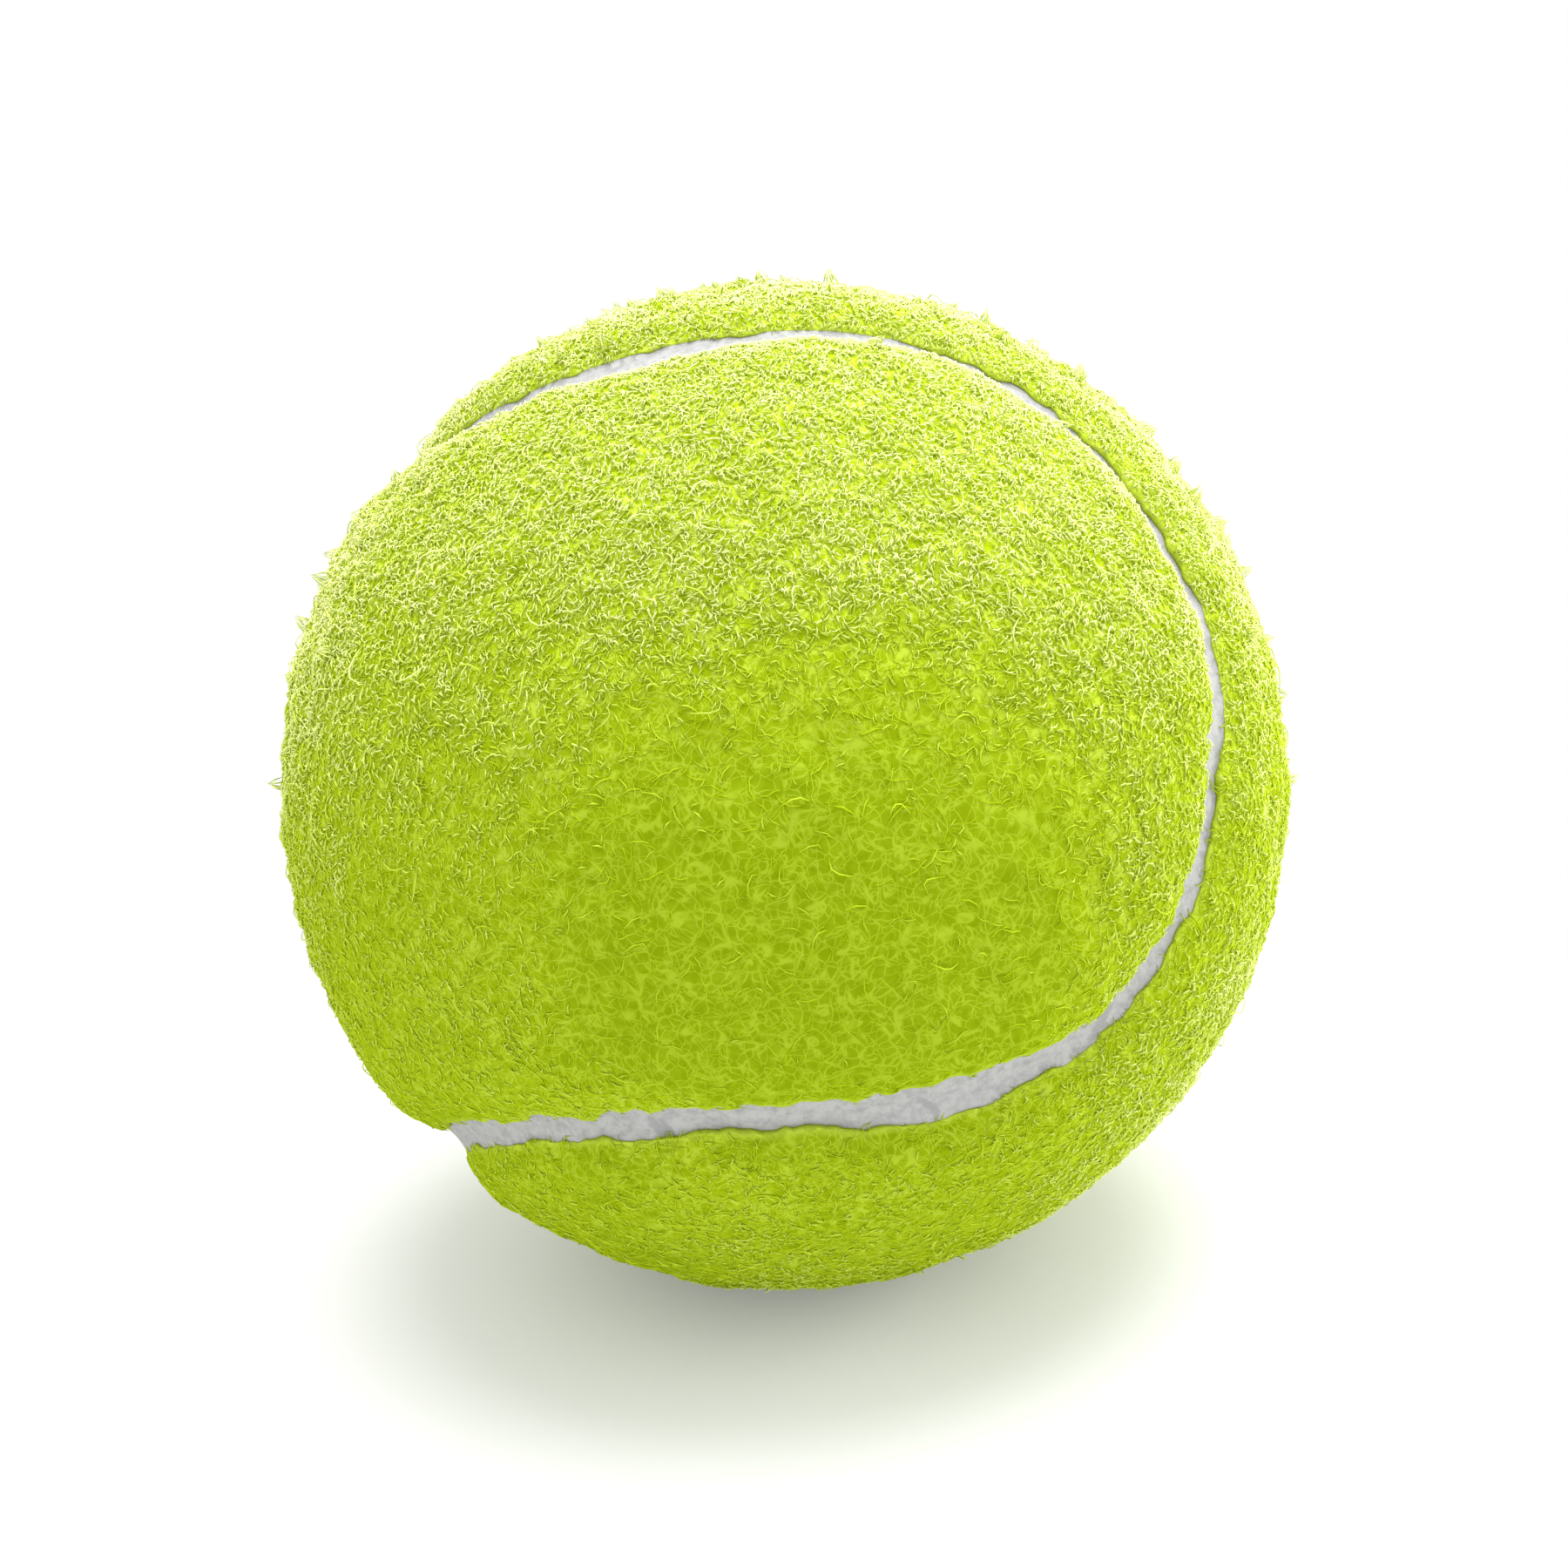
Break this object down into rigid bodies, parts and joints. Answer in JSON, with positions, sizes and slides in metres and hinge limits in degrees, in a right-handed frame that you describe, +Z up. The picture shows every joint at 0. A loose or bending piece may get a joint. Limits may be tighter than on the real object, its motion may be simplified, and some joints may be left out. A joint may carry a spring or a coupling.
{
  "type": "tennis ball",
  "caption": "Hollow rubber ball whose core is covered by dumbbell-shaped felt panels that meet along a curved rubber seam.",
  "frame": {"origin": "centre of the ball", "axes": "+X along the seam's axis of symmetry, out through the middle of the right panel's waist; -Y towards the camera of the picture; +Z up. The cover is turned 25 degrees about X, as the ball lies in the picture, so the left panel's front lobe is raised by that much from -Y."},
  "size_m": [0.067, 0.067, 0.067],
  "materials": {
    "core_rubber": "matte",
    "joint_cement": "satin",
    "panel_adhesive": "satin",
    "felt": "matte",
    "seam_rubber": "matte"
  },
  "bodies": {
    "root": {"half_shell_upper": "core_rubber", "half_shell_lower": "core_rubber", "shell_cement": "joint_cement", "panel_adhesive_left": "panel_adhesive", "panel_adhesive_right": "panel_adhesive", "felt_panel_left": "felt", "felt_panel_right": "felt", "seam_rubber": "seam_rubber"}
  },
  "joints": []
}
